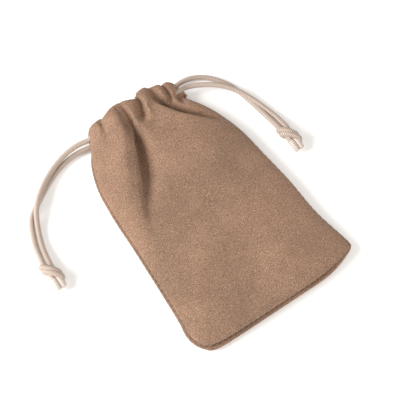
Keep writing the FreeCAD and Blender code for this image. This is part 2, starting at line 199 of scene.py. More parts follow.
# Folds pulled in by the drawstrings, from the mouth down. These are the columns of their rows:
# the place along the pouch comes first, then the place across it, the depth, the width of the
# left side and of the right side, how far a brink leans over the fold, and half the width of its
# flat floor. Rolls, which rise, and the folds of the back have no lean and no floor.
CENTRE, DEPTH, LEFT_WIDTH, RIGHT_WIDTH, LEAN, FLOOR = range(1, 7)
FRONT_FOLDS = {
    "left_notch": (
        (70.0, -20.6, 3.4, 1.5, 1.1, 0.0, 0.0), (64.0, -21.4, 2.2, 1.8, 1.4, 0.0, 0.0),
        (58.0, -23.0, 0.8, 2.4, 2.0, 0.0, 0.0), (52.0, -24.5, 0.0, 3.0, 3.0, 0.0, 0.0),
    ),
    "pocket": (
        (70.0, -9.4, 0.2, 0.8, 0.7, 0.0, 0.8), (67.0, -9.2, 1.4, 0.7, 0.7, 0.0, 1.4),
        (62.0, -9.2, 3.0, 0.7, 0.7, 0.0, 1.8), (57.0, -10.4, 3.2, 0.7, 0.7, 0.2, 1.7),
        (53.0, -12.0, 2.0, 0.8, 0.8, 0.4, 1.0), (48.5, -14.0, 0.0, 1.2, 1.2, 0.0, 0.4),
    ),
    "main_valley": (
        (70.0, -7.0, 0.4, 1.2, 0.7, 0.0, 0.0), (66.0, -6.5, 2.4, 1.1, 0.6, 0.0, 0.0),
        (62.0, -6.3, 3.4, 1.0, 0.6, 0.0, 0.0), (57.0, -7.4, 4.4, 1.1, 0.7, 0.0, 0.0),
        (53.0, -9.4, 6.6, 1.1, 1.4, 0.8, 0.3), (49.0, -12.0, 8.6, 1.0, 3.6, 1.8, 0.6),
        (43.5, -14.6, 8.8, 0.9, 5.8, 2.4, 0.8), (37.0, -17.6, 7.8, 0.9, 7.6, 2.4, 0.8),
        (29.0, -20.6, 6.0, 1.1, 9.4, 2.2, 0.7), (20.0, -24.8, 4.2, 1.6, 10.5, 1.6, 0.5),
        (8.0, -28.4, 2.2, 3.0, 11.0, 0.8, 0.3), (-6.0, -31.0, 0.7, 6.0, 12.0, 0.0, 0.0),
        (-20.0, -32.0, 0.0, 8.0, 12.0, 0.0, 0.0),
    ),
    "middle_crease": (
        (70.0, 3.0, 2.4, 3.4, 0.9, -2.6, 0.0), (66.0, 4.4, 3.8, 3.6, 0.8, -2.2, 0.2),
        (62.0, 3.2, 4.6, 3.8, 0.7, -1.0, 0.5), (58.0, 1.2, 4.8, 3.6, 0.7, -0.3, 0.5),
        (54.6, -0.2, 3.0, 3.0, 0.9, 0.0, 0.3), (51.5, -1.2, 0.5, 2.6, 2.0, 0.0, 0.0),
        (48.5, -2.0, 0.0, 3.0, 3.0, 0.0, 0.0),
    ),
    "right_valley": (
        (70.0, 10.8, 0.5, 1.4, 2.6, 0.4, 0.2), (66.0, 10.2, 2.8, 1.1, 2.6, 0.8, 0.6),
        (61.0, 10.2, 5.0, 1.0, 3.0, 1.0, 1.0), (57.0, 11.4, 6.6, 0.9, 3.6, 1.2, 1.2),
        (52.0, 14.4, 7.4, 0.9, 4.2, 1.4, 1.4), (46.0, 18.6, 7.4, 0.9, 4.8, 1.4, 1.4),
        (42.0, 23.0, 6.4, 1.0, 4.8, 1.2, 1.2), (38.0, 28.0, 4.4, 1.3, 4.6, 0.8, 0.8),
        (34.5, 33.0, 2.0, 2.0, 4.4, 0.2, 0.4), (31.0, 37.4, 0.4, 3.0, 4.0, 0.0, 0.0),
        (28.0, 41.0, 0.0, 3.0, 4.0, 0.0, 0.0),
    ),
    "tab_crease": (
        (70.0, 17.8, 1.6, 1.0, 1.2, 0.0, 0.0), (65.0, 18.4, 3.0, 1.0, 1.4, 0.0, 0.0),
        (60.0, 18.0, 3.2, 1.1, 1.4, 0.0, 0.2), (55.0, 17.6, 1.8, 1.4, 1.6, 0.0, 0.0),
        (50.0, 18.4, 0.0, 2.0, 2.0, 0.0, 0.0),
    ),
    "tab_notch": (
        (66.0, 25.0, 0.0, 1.0, 1.0, 0.0, 0.0), (61.0, 23.6, 1.4, 0.9, 1.2, 0.0, 0.0),
        (57.5, 22.6, 3.8, 1.0, 1.6, 0.0, 0.4), (54.0, 22.8, 2.4, 1.4, 1.8, 0.0, 0.2),
        (50.0, 24.0, 0.0, 2.0, 2.0, 0.0, 0.0),
    ),
}
# Rolls between the folds.
FRONT_ROLLS = {
    "left_bulge": (
        (70.0, -15.0, 0.6, 4.0, 3.0), (62.0, -15.0, 1.4, 4.0, 3.0), (54.0, -15.8, 2.2, 5.0, 3.2),
        (46.0, -19.2, 3.0, 7.0, 3.4), (38.0, -23.4, 3.4, 8.5, 4.0), (28.0, -28.0, 3.2, 9.0, 5.0),
        (14.0, -34.0, 2.2, 8.0, 8.0), (-4.0, -37.0, 1.0, 7.0, 10.0), (-30.0, -38.0, 0.0, 8.0, 12.0),
    ),
    "crease_ridge": (
        (70.0, 6.6, 0.6, 1.6, 2.2), (65.0, 6.0, 1.4, 1.4, 2.0), (59.0, 3.4, 1.8, 1.4, 2.4),
        (54.0, 3.4, 0.9, 2.0, 3.0), (49.0, 3.6, 0.0, 3.0, 4.0),
    ),
    "valley_ridge": (
        (62.0, 7.6, 0.0, 2.0, 1.6), (55.0, 9.6, 1.0, 3.0, 1.8), (47.0, 14.8, 1.5, 4.0, 2.0),
        (40.0, 21.4, 1.4, 5.0, 2.2), (34.0, 29.0, 0.8, 6.0, 3.0), (28.0, 36.0, 0.0, 7.0, 4.0),
    ),
    "flap": (
        (66.0, 14.6, 0.0, 2.0, 2.0), (56.0, 16.4, 0.8, 2.0, 2.4), (46.0, 25.4, 1.2, 2.6, 3.0),
        (38.0, 31.6, 0.6, 3.0, 3.0), (32.0, 36.0, 0.0, 3.0, 3.0),
    ),
}
BACK_FOLDS = {
    "first": ((70.0, -19.0, 2.6, 3.0, 2.4), (57.0, -19.0, 2.2, 3.0, 2.4), (36.0, -24.0, 0.0, 4.0, 5.0)),
    "second": ((70.0, -6.5, 3.0, 2.4, 3.0), (57.0, -6.5, 2.6, 2.4, 3.0), (24.0, -9.0, 0.0, 5.0, 5.0)),
    "third": ((70.0, 6.0, 2.4, 2.6, 2.4), (57.0, 6.0, 2.2, 2.6, 2.4), (30.0, 9.0, 0.0, 5.0, 5.0)),
    "fourth": ((70.0, 17.5, 2.8, 2.2, 3.0), (57.0, 17.5, 2.4, 2.2, 3.0), (38.0, 23.0, 0.0, 4.0, 5.0)),
}
# Where the fold along the mouth lies: place across the pouch, place along it.
FRONT_EDGE = (
    (-29.4, 63.6), (-28.4, 66.2), (-25.6, 67.8), (-20.6, 66.6), (-17.0, 67.0), (-13.0, 68.4),
    (-9.0, 69.2), (-4.0, 68.0), (1.0, 66.8), (4.6, 67.6), (8.0, 68.8), (12.0, 68.0), (17.0, 66.9),
    (21.0, 66.7), (24.0, 66.2), (26.4, 64.8), (28.0, 62.6),
)
BACK_EDGE = (
    (-29.4, 64.0), (-27.6, 67.4), (-12.0, 68.9), (0.0, 68.2), (14.0, 68.4), (25.0, 66.6),
    (28.0, 63.0),
)
# Soft dents in the flat of the front, which rise where the depth is negative: place across,
# place along, depth, then the reach each way.
DENTS = (
    (14.0, 18.0, 0.7, 15.0, 12.0), (27.0, -26.0, 0.6, 12.0, 16.0), (-2.0, -44.0, 0.5, 16.0, 10.0),
    (-14.0, -8.0, 0.5, 9.0, 16.0), (-30.0, -34.0, 0.4, 10.0, 16.0), (34.0, 6.0, 0.5, 8.0, 14.0),
    (2.0, 49.0, 0.8, 5.0, 3.6), (-6.0, 44.0, -0.6, 5.0, 5.0), (8.0, -14.0, -0.5, 14.0, 10.0),
    (16.0, 34.0, -0.4, 10.0, 9.0), (18.0, -52.0, -0.3, 12.0, 9.0),
)

# Routes of the drawstrings, from the knot round through both channels and back: those of the
# packed tubes, with their points moved a little so that the smooth curve lies as the cord does.
RIGHT_ROUTE = (
    (62.4, 11.0, 4.6), (62.2, 18.5, 3.2), (60.6, 27.5, 2.0), (57.4, 37.0, 3.0), (52.8, 45.6, 5.0),
    (46.0, 53.0, 6.2), (38.4, 58.4, 6.0), (30.6, 62.0, 5.8), (26.6, 61.0, 7.8), (21.4, 60.5, 9.2),
    (10.0, 60.9, 9.3), (-4.0, 61.1, 9.2), (-20.0, 60.9, 9.4), (-20.0, 64.9, 2.7), (-4.0, 65.2, 2.7),
    (18.0, 65.3, 2.7), (33.0, 68.2, 2.7), (43.4, 64.0, 1.8), (50.6, 55.6, 1.5), (54.6, 46.0, 1.5),
    (57.0, 33.0, 1.6), (58.6, 21.0, 2.4), (59.2, 11.0, 4.6),
)
LEFT_ROUTE = (
    (-85.6, 15.6, 4.6), (-84.8, 22.5, 3.2), (-82.6, 30.8, 2.0), (-79.6, 38.6, 2.6), (-76.0, 45.4, 4.6),
    (-70.6, 51.4, 4.8), (-62.6, 57.8, 4.0), (-54.6, 62.2, 3.6), (-45.8, 65.2, 4.0), (-37.0, 65.8, 4.8),
    (-30.8, 64.2, 5.4), (-27.2, 65.0, 7.6), (-21.6, 65.4, 9.2), (-10.0, 65.0, 9.3), (4.0, 64.9, 9.2),
    (20.0, 64.9, 9.4), (20.0, 60.9, 2.7), (4.0, 60.6, 2.7), (-18.0, 60.9, 2.7), (-31.0, 61.4, 2.4),
    (-38.6, 63.0, 1.8), (-46.6, 62.5, 1.6), (-55.2, 59.8, 1.6), (-63.0, 55.8, 1.6), (-69.2, 51.8, 1.6),
    (-75.6, 47.8, 1.6), (-80.8, 43.4, 1.6), (-84.4, 35.4, 1.8), (-87.4, 26.6, 2.8), (-88.8, 15.6, 4.6),
)


# ---- numbers -------------------------------------------------------------------------------
def follow(rows, column, at):
    """A smooth curve through one column of the rows, against their first column."""
    rows = sorted(rows)
    places = np.array([row[0] for row in rows])
    values = np.array([row[column] for row in rows])
    slopes = np.gradient(values, places)
    at = np.clip(at, places[0], places[-1])
    cell = np.clip(np.searchsorted(places, at) - 1, 0, len(places) - 2)
    width = places[cell + 1] - places[cell]
    t = (at - places[cell]) / width
    rise = t * t * (3.0 - 2.0 * t)
    return (
        values[cell] * (1.0 - rise) + values[cell + 1] * rise
        + slopes[cell] * width * t * (1.0 - t) ** 2
        - slopes[cell + 1] * width * t * t * (1.0 - t)
    )


def ease(start, end, at):
    """Rises smoothly from 0 at start to 1 at end."""
    t = np.clip((at - start) / (end - start), 0.0, 1.0)
    return t * t * (3.0 - 2.0 * t)


def creases(folds, x, y):
    """The depth of a set of folds at each place."""
    total = np.zeros_like(x)
    for rows in folds.values():
        centre = follow(rows, CENTRE, y)
        depth = np.maximum(follow(rows, DEPTH, y), 0.0)
        width = np.where(x < centre, follow(rows, LEFT_WIDTH, y), follow(rows, RIGHT_WIDTH, y))
        has_floor = len(rows[0]) > FLOOR
        floor = follow(rows, FLOOR, y) if has_floor else 0.0
        beyond = np.maximum(np.abs(x - centre) - floor, 0.0)
        total += depth / np.cosh(beyond / np.maximum(width, 0.5)) ** 2
    return total


def leans(folds, x, y):
    """How far the brinks of a set of folds lean over them, to the right where positive."""
    total = np.zeros_like(x)
    for rows in folds.values():
        lean = follow(rows, LEAN, y)
        width = np.where(lean > 0.0, -follow(rows, LEFT_WIDTH, y), follow(rows, RIGHT_WIDTH, y))
        brink = follow(rows, CENTRE, y) + BRINK_PLACE * width + np.sign(width) * follow(rows, FLOOR, y)
        total += lean * np.exp(-((x - brink) / (np.abs(width) + BRINK_SOFT)) ** 2)
    return total


def dents(x, y):
    """The depth of the soft dents at each place."""
    total = np.zeros_like(x)
    for across, along, depth, reach_x, reach_y in DENTS:
        total += depth * np.exp(-((x - across) / reach_x) ** 2 - ((y - along) / reach_y) ** 2)
    return total


# ---- the suede's surfaces ------------------------------------------------------------------
def half_width(x_sign, y):
    """Half the pouch's width on one side, at each place along it."""
    left = follow(LEFT_SIDE, 1, y - BOTTOM)
    right = follow(RIGHT_SIDE, 1, y - BOTTOM)
    return np.where(x_sign < 0.0, left, right)


def front_height(x, y):
    """The height of the front's outside over each place inside the outline."""
    share = np.clip(np.abs(x) / half_width(x, y), 0.0, 1.0)
    crown = (1.0 - share ** FRONT_PROFILE) ** FRONT_CROWN
    end = np.clip((y - BOTTOM) / BOTTOM_ROUND, 0.0, 1.0)
    closing = (1.0 - (1.0 - end) ** BOTTOM_CURVE) ** 0.5
    rise = follow(FRONT_RISE, 1, y - BOTTOM) * crown * closing
    shaping = creases(FRONT_ROLLS, x, y) - creases(FRONT_FOLDS, x, y) - dents(x, y)
    stitched = STITCH_SINK * np.exp(-((y - STITCH_LINE_Y) / STITCH_SINK_REACH) ** 2)
    puffed = LIP_PUFF * ease(SEWN_Y, SEWN_Y + LIP_PUFF_REACH, y)
    room = np.clip(crown * closing * FOLD_ROOM, 0.0, 1.0)
    return SEAM_Z + np.maximum(rise + (shaping - stitched + puffed) * room, 0.0)


def front_surface(x, y):
    """Points of the front's outside, its brinks leaning over their folds."""
    return x + leans(FRONT_FOLDS, x, y), y, front_height(x, y)


def back_height(x, y):
    """The height of the back's underside over each place inside the outline."""
    share = np.clip(np.abs(x) / half_width(x, y), 0.0, 1.0)
    crown = (1.0 - share ** BACK_PROFILE) ** BACK_CROWN
    end = np.clip((y - BOTTOM) / BACK_BOTTOM_ROUND, 0.0, 1.0)
    closing = (1.0 - (1.0 - end) ** BACK_BOTTOM_CURVE) ** 0.5
    lift = creases(BACK_FOLDS, x, y) * crown
    return SEAM_Z * (1.0 - crown * closing) + lift


def back_surface(x, y):
    """Points of the back's underside."""
    return x, y, back_height(x, y)


def tuck_seam(grid, bulge):
    """Draws the suede in along its seams, with a small pucker at each stitch.

    Also gives how deep in the groove each point lies, from 0 to 1, which sets the painted shade that
    darkens the suede there.
    """
    x, y, z = grid
    near = np.exp(-((z - SEAM_Z) / SEAM_BAND) ** 2)
    closed = 1.0 - ease(*GROOVE_END, y)
    pucker = 1.0 + PUCKER * np.cos((y + x) * 2.0 * math.pi / STITCH_PITCH)
    inward = bulge - (bulge + SEAM_INSET) * near * pucker
    side = np.clip(np.abs(x) / half_width(x, y), 0.0, 1.0) ** SIDE_POWER
    bottom = np.exp(-((y - BOTTOM) / BOTTOM_REACH) ** 2)
    # Painted shade: the suede is darkened in the groove along the sides and the bottom.
    painted_groove_shade = np.exp(-((z - SEAM_Z) / GROOVE_SHADE) ** 2) * np.maximum(side ** 4 * closed, bottom)
    return (x + np.sign(x) * inward * side * closed, y - inward * bottom, z), painted_groove_shade


# ---- meshes ---------------------------------------------------------------------------------
def grid_faces(rows, columns):
    """The faces of a grid of points, wound so that they face up."""
    corner = np.arange(rows - 1)[:, None] * columns + np.arange(columns - 1)[None, :]
    faces = np.stack([corner, corner + 1, corner + columns + 1, corner + columns], axis=-1)
    return faces.reshape(-1, 4)


def body_rows():
    """Places along the pouch for the rows up to the lip, closer together at the bottom."""
    quarter = np.linspace(0.0, math.pi / 2.0, LOW_ROWS)
    low = BOTTOM + LOW_LENGTH * (1.0 - np.cos(quarter))
    middle = np.arange(low[-1] + ROW_STEP, LIP_START, ROW_STEP)
    return np.concatenate([low, middle])


def lip_rows(across, start, edge):
    """Places along the pouch for the rows from there up, which take on the mouth's edge."""
    stop = follow(edge, 1, across * NECK_HALF)
    return [start + (stop - start) * step / LIP_ROWS for step in range(1, LIP_ROWS + 1)]


def stack_rows(first, second):
    """One grid of points from two: the rows of the second come after those of the first."""
    return tuple(np.vstack(pair) for pair in zip(first, second))


def edge_fold(across, edge, turn_down):
    """The rows of the fold along the mouth, turned down inside, or up with a turn_down of -1."""
    x, y, z = edge
    roll = EDGE_ROLL * np.sqrt(1.0 - across ** 8)
    turn = np.linspace(0.0, math.pi, EDGE_STEPS + 1)[1:, None]
    return x + 0.0 * turn, y + roll * np.sin(turn), z - turn_down * roll * (1.0 - np.cos(turn))


def sheet_grid(surface, edge, turn_down):
    """A grid of points, as x, y and z: rows from the bottom seam to the mouth and over its fold."""
    across = np.sin(np.linspace(-1.0, 1.0, COLUMNS) * math.pi / 2.0)
    rows = [place + 0.0 * across for place in body_rows()]
    rows += lip_rows(across, rows[-1], edge)
    y = np.array(rows)
    x = across * half_width(across + 0.0 * y, y)
    grid = surface(x, y)
    return stack_rows(grid, edge_fold(across, last_row(grid), turn_down))


def last_row(grid):
    """The x, y and z of a grid's last row."""
    x, y, z = grid
    return x[-1], y[-1], z[-1]


def add_mesh(name, points, faces):
    """A smooth mesh object from points in millimetres, kept as the attribute rest as well."""
    mesh = bpy.data.meshes.new(name)
    points = np.asarray(points, dtype=float)
    mesh.from_pydata((points * MM).tolist(), [], [list(map(int, face)) for face in faces])
    rest = mesh.attributes.new("rest", "FLOAT_VECTOR", "POINT")
    rest.data.foreach_set("vector", points.astype(np.float32).ravel())
    mesh.polygons.foreach_set("use_smooth", [True] * len(mesh.polygons))
    mesh.update()
    piece = bpy.data.objects.new(name, mesh)
    bpy.context.scene.collection.objects.link(piece)
    return piece


def add_grid(name, grid, faces_down=False):
    """A mesh object from a grid of points."""
    points = np.stack(grid, axis=-1)
    faces = grid_faces(*points.shape[:2])
    if faces_down:
        faces = faces[:, ::-1]
    return add_mesh(name, points.reshape(-1, 3), faces)


def add_values(piece, name, values):
    """Keeps a number at each of a piece's points, for its material."""
    attribute = piece.data.attributes.new(name, "FLOAT", "POINT")
    attribute.data.foreach_set("value", np.asarray(values, dtype=np.float32).ravel())


def thicken(piece, amount, offset=-1.0):
    """Gives a sheet its thickness: behind its faces, or in front of them with an offset of 1."""
    solid = piece.modifiers.new("thickness", "SOLIDIFY")
    solid.thickness = amount * MM
    solid.offset = offset
    solid.use_even_offset = False
    solid.use_rim = True


def finish_modifiers(piece):
    """Makes the shape that the modifiers give the piece's own mesh."""
    graph = bpy.context.evaluated_depsgraph_get()
    mesh = bpy.data.meshes.new_from_object(piece.evaluated_get(graph))
    piece.modifiers.clear()
    piece.data = mesh


# ---- the suede's pieces --------------------------------------------------------------------
def inner_layer(edge, layer_z, sewn_z):
    """A channel's inner layer: a wall behind the cords, then back to where it is sewn."""
    x, y, z = edge
    along = np.linspace(0.0, 1.0, INNER_ROWS)[1:, None]
    back = np.maximum(0.0, along - WALL_SHARE) / (1.0 - WALL_SHARE)
    sides = ease(0.0, 1.0, (NECK_HALF - np.abs(x)) / LAYER_SIDE_REACH)
    level = z + (layer_z - z) * ease(0.0, WALL_SHARE, along) * sides
    level = level + (sewn_z - level) * ease(SEWN_SHARE, 1.0, back)
    return x + 0.0 * along, y + (LAYER_END_Y - y) * back, level


def ripple(shape, x):
    """Small waves across an inner layer, from their height and spacing."""
    height, spacing = shape
    return height * np.cos(x * 2.0 * math.pi / spacing)


def front_inner(edge):
    """The front channel's inner layer, under the cords."""
    x, y, z = edge
    layer_z = np.minimum(z, FRONT_LAYER_Z + ripple(FRONT_RIPPLE, x))
    return inner_layer(edge, layer_z, front_height(x, 0.0 * x + LAYER_END_Y) - LAYER_GAP)


def back_inner(edge):
    """The back channel's inner layer, over the cords."""
    x, y, z = edge
    layer_z = np.maximum(z, BACK_LAYER_Z + ripple(BACK_RIPPLE, x))
    return inner_layer(edge, layer_z, back_height(x, 0.0 * x + LAYER_END_Y) + LAYER_GAP)


def front_sheet():
    """The front: body, lip and the fold along the mouth.

    Also gives the last row of its fold, which the inner layer goes on from.
    """
    grid, painted_groove_shade = tuck_seam(sheet_grid(front_surface, FRONT_EDGE, 1.0), FRONT_BULGE)
    piece = add_grid("front_suede", grid)
    add_values(piece, "painted_groove_shade", painted_groove_shade)
    thicken(piece, THICKNESS)
    finish_modifiers(piece)
    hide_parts("front_panel", "front_channel")
    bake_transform(piece)
    return piece, last_row(grid)


def front_facing(edge):
    """The front channel's inner layer, seen only from behind the mouth."""
    piece = add_grid("front_channel_inner_layer", front_inner(edge), faces_down=True)
    thicken(piece, INNER_THICKNESS, 1.0)
    finish_modifiers(piece)
    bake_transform(piece)
    return piece


def back_sheet():
    """The back: underside, rounded sides, and its channel with its inner layer."""
    grid = sheet_grid(back_surface, BACK_EDGE, -1.0)
    grid = stack_rows(grid, back_inner(last_row(grid)))
    grid, painted_groove_shade = tuck_seam(grid, BACK_BULGE)
    piece = add_grid("back_suede", grid, faces_down=True)
    add_values(piece, "painted_groove_shade", painted_groove_shade)
    thicken(piece, THICKNESS)
    finish_modifiers(piece)
    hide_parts("back_panel", "back_channel")
    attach(piece, "pouch")
    return piece


# ---- thread --------------------------------------------------------------------------------
def nearest(points, places):
    """For each of the places, which of the points is nearest to it."""
    return [np.argmin(((points - place) ** 2).sum(axis=1)) for place in places]


def stitch_row(name, node, line, normals):
    """A row of short stitches along a line on the suede: both ends of each dip into it."""
    fine, along = even_points(line, FINE_STEP)
    pieces = []
    for start in np.arange(STITCH_PITCH * 0.5, along[-1] - STITCH_LONG, STITCH_PITCH):
        stitch = fine[(along >= start) & (along <= start + STITCH_LONG)]
        bow = np.sin(np.linspace(0.0, math.pi, len(stitch)))
        lift = normals[nearest(line, stitch)] * (STITCH_BOW * bow - STITCH_DIP)[:, None]
        pieces.append(tube(stitch + lift, THREAD_RADIUS, THREAD_SIDES))
    piece = join_tubes(name, pieces)
    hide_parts(node)
    return piece


def channel_stitches():
    """The rows that close the two channels, on the front and on the underside."""
    x = np.linspace(*CHANNEL_SEAM, 900)
    y = 0.0 * x + STITCH_LINE_Y
    up = np.tile((0.0, 0.0, 1.0), (len(x), 1))
    front_line = np.stack(front_surface(x, y), axis=1)
    front = stitch_row("front_thread", "front_channel_stitches", front_line, up)
    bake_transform(front)
    back_line = np.stack(back_surface(x, y), axis=1)
    back = stitch_row("back_thread", "back_channel_stitches", back_line, -up)
    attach(back, "pouch")
    return [front, back]


def seam_stitches():
    """The thread in the groove down both sides and along the bottom."""
    y = np.linspace(SIDE_SEAM_TOP, BOTTOM, 500)
    left = np.stack([-half_width(-1.0 + 0.0 * y, y), y], axis=1)
    right = np.stack([half_width(1.0 + 0.0 * y, y), y], axis=1)[::-1]
    outline, _ = even_points(np.vstack([left, right]), FINE_STEP)
    steps = np.gradient(outline, axis=0)
    away = np.stack([steps[:, 1], -steps[:, 0]], axis=1) / np.linalg.norm(steps, axis=1)[:, None]
    level = np.full((len(outline), 1), SEAM_Z)
    line = np.hstack([outline - away * SEAM_HIDE, level])
    normals = np.hstack([away, 0.0 * level])
    low = outline[:, 1] < BOTTOM_SEAM_TOP
    seams = {
        "left_side_seam": ~low & (outline[:, 0] < 0.0),
        "bottom_seam": low,
        "right_side_seam": ~low & (outline[:, 0] > 0.0),
    }
    rows = []
    for node, chosen in seams.items():
        row = stitch_row(node + "_thread", node, line[chosen], normals[chosen])
        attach(row, "pouch")
        rows.append(row)
    return rows


# ---- lines and tubes -----------------------------------------------------------------------
def spline_points(route):
    """Points along the smooth curve that a route's points control, in millimetres."""
    curve = bpy.data.curves.new("route", "CURVE")
    curve.dimensions = "3D"
    curve.resolution_u = 24
    spline = curve.splines.new("NURBS")
    spline.points.add(len(route) - 1)
    for point, place in zip(spline.points, route):
        point.co = (place[0] * MM, place[1] * MM, place[2] * MM, 1.0)
    spline.order_u = 3
    spline.use_endpoint_u = True
    holder = bpy.data.objects.new("route", curve)
    bpy.context.scene.collection.objects.link(holder)
    mesh = bpy.data.meshes.new_from_object(holder)
    points = np.array([vertex.co[:] for vertex in mesh.vertices]) / MM
    bpy.data.objects.remove(holder)
    bpy.data.meshes.remove(mesh)
    bpy.data.curves.remove(curve)
    return points


def even_points(points, spacing):
    """The same line with its points evenly spaced, and the length along it at each."""
    along = lengths_along(points)
    count = max(2, int(round(along[-1] / spacing)) + 1)
    places = np.linspace(0.0, along[-1], count)
    even = np.stack([np.interp(places, along, values) for values in points.T], axis=1)
    return even, places


def lengths_along(points):
    """The length along a line at each of its points."""
    steps = np.linalg.norm(np.diff(points, axis=0), axis=1)
    return np.concatenate([[0.0], np.cumsum(steps)])


def carried_frames(points):
    """Two directions across a line at each of its points, carried along without twisting."""
    tangents = np.gradient(points, axis=0)
    tangents /= np.linalg.norm(tangents, axis=1)[:, None]
    across = np.cross(tangents[0], (0.0, 0.0, 1.0))
    if np.linalg.norm(across) < 0.1:
        across = np.cross(tangents[0], (1.0, 0.0, 0.0))
    firsts = []
    for tangent in tangents:
        across = across - tangent * np.dot(across, tangent)
        across = across / np.linalg.norm(across)
        firsts.append(across)
    firsts = np.array(firsts)
    return firsts, np.cross(tangents, firsts)


def tube(centre, reach, sides):
    """A closed tube round a line of points: its points, its faces, and where each point lies.

    That is the length along the line, and the part of a turn around it.
    """
    first, second = carried_frames(centre)
    turn = np.linspace(0.0, 2.0 * math.pi, sides, endpoint=False)
    ring = np.cos(turn)[:, None] * first[:, None, :] + np.sin(turn)[:, None] * second[:, None, :]
    rows = len(centre)
    reach = np.broadcast_to(reach, (rows, sides))
    points = (centre[:, None, :] + ring * reach[:, :, None]).reshape(-1, 3)
    row = np.arange(rows - 1)[:, None] * sides
    here = np.arange(sides)[None, :]
    beside = (here + 1) % sides
    walls = np.stack([row + here, row + beside, row + beside + sides, row + here + sides], axis=-1)
    faces = [list(face) for face in walls.reshape(-1, 4)]
    faces.append(list(range(sides))[::-1])
    faces.append([(rows - 1) * sides + number for number in range(sides)])
    along = np.repeat(lengths_along(centre), sides)
    around = np.tile(turn, rows) / (2.0 * math.pi)
    return points, faces, np.stack([along, around], axis=1)


def cord_tube(line, radius=CORD_RADIUS, round_end=False):
    """A ribbed cord along a line, its last end rounded where asked."""
    centre, along = even_points(line, RIB_PITCH / RIB_STEPS)
    around = np.linspace(0.0, 1.0, CORD_SIDES, endpoint=False)
    chevron = np.abs((around * RIB_TURNS) % 2.0 - 1.0)
    phase = along[:, None] / RIB_PITCH + RIB_SLANT * chevron
    reach = radius - RIB_DEPTH + RIB_DEPTH * np.cos(phase * 2.0 * math.pi)
    if round_end:
        reach = reach * cap_shape(along[-1] - along, radius)[:, None]
    return tube(centre, reach, CORD_SIDES)


def cap_shape(distance, radius):
    """How a rounded cut end narrows towards its tip."""
    t = np.clip(distance / (radius * CAP_LENGTH), 0.0, 1.0)
    return np.maximum(np.sqrt(1.0 - (1.0 - t) ** 2), CAP_FLAT)


def join_tubes(name, tubes):
    """One mesh object of several tubes, with their places along and around as attributes."""
    points, faces, places = [], [], []
    start = 0
    for tube_points, tube_faces, tube_places in tubes:
        points.append(tube_points)
        faces.extend([[index + start for index in face] for face in tube_faces])
        places.append(tube_places)
        start += len(tube_points)
    piece = add_mesh(name, np.vstack(points), faces)
    along, around = np.vstack(places).T
    add_values(piece, "along", along)
    add_values(piece, "around", around)
    return piece


# ---- drawstrings ---------------------------------------------------------------------------
def core_line(side):
    """The centre line of a leg on its way through the knot, drawn in at its middle."""
    step = np.linspace(0.0, 1.0, 40)
    sway = np.sin(step * math.pi)
    across = side * (LEG_GAP + (KNOT_CORE_GAP - LEG_GAP) * sway)
    return np.stack([across, KNOT_START - KNOT_LENGTH * step, CORE_RISE * side * sway], axis=1)


def wrap_line(offset):
    """The centre line of a wrap: out of the knot's core, round it and back in."""
    step = np.linspace(0.0, 1.0, 100)
    turn = np.radians(WRAP_TURN * (step - 0.5))
    out = ease(0.0, WRAP_END, step) * (1.0 - ease(1.0 - WRAP_END, 1.0, step))
    wide = 1.0 + (WRAP_REACH[0] - 1.0) * out
    high = 1.0 + (WRAP_REACH[1] - 1.0) * out
    tilt = KNOT_TILT * np.sin(turn) * out
    along = KNOT_MIDDLE + offset * (0.5 + 0.5 * out) - tilt - KNOT_ADVANCE * (step - 0.5)
    return np.stack([wide * np.sin(turn), along, high * np.cos(turn)], axis=1)


def knot_lines():
    """Centre lines of the knot's strands, from where the legs enter it."""
    return [core_line(-1.0), core_line(1.0), wrap_line(-WRAP_OFFSET), wrap_line(WRAP_OFFSET)]


def sealed_line(side):
    """The centre line of a cut end, beside the other one past the knot and down to rest."""
    step = np.linspace(0.0, 1.0, 24)
    across = side * (SEALED_GAP + SEALED_SPREAD * np.sin(step * math.pi))
    along = SEALED_START - KNOT_FOOT - SEALED_LENGTH * step
    return np.stack([across, along, -SEALED_DROP * step ** 2], axis=1)


def drawstring(side, route):
    """One drawstring: its cord, the knot that joins its legs, and the two cut ends."""
    body = side + "_drawstring"
    line = spline_points(route)
    entry = (np.array(route[0]) + np.array(route[-1])) / 2.0
    cord = join_tubes(side + "_cord_satin", [cord_tube(line)])
    knot = join_tubes(side + "_knot_tied", [cord_tube(path + entry, KNOT_STRAND) for path in knot_lines()])
    sealed = [cord_tube(sealed_line(edge) + entry, SEALED_STRAND, round_end=True) for edge in (-1.0, 1.0)]
    ends = join_tubes(side + "_cord_ends_sealed", sealed)
    for piece, node in ((cord, "_cord"), (knot, "_knot"), (ends, "_cord_ends")):
        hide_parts(side + node)
        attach(piece, body)
    return cord, knot, ends


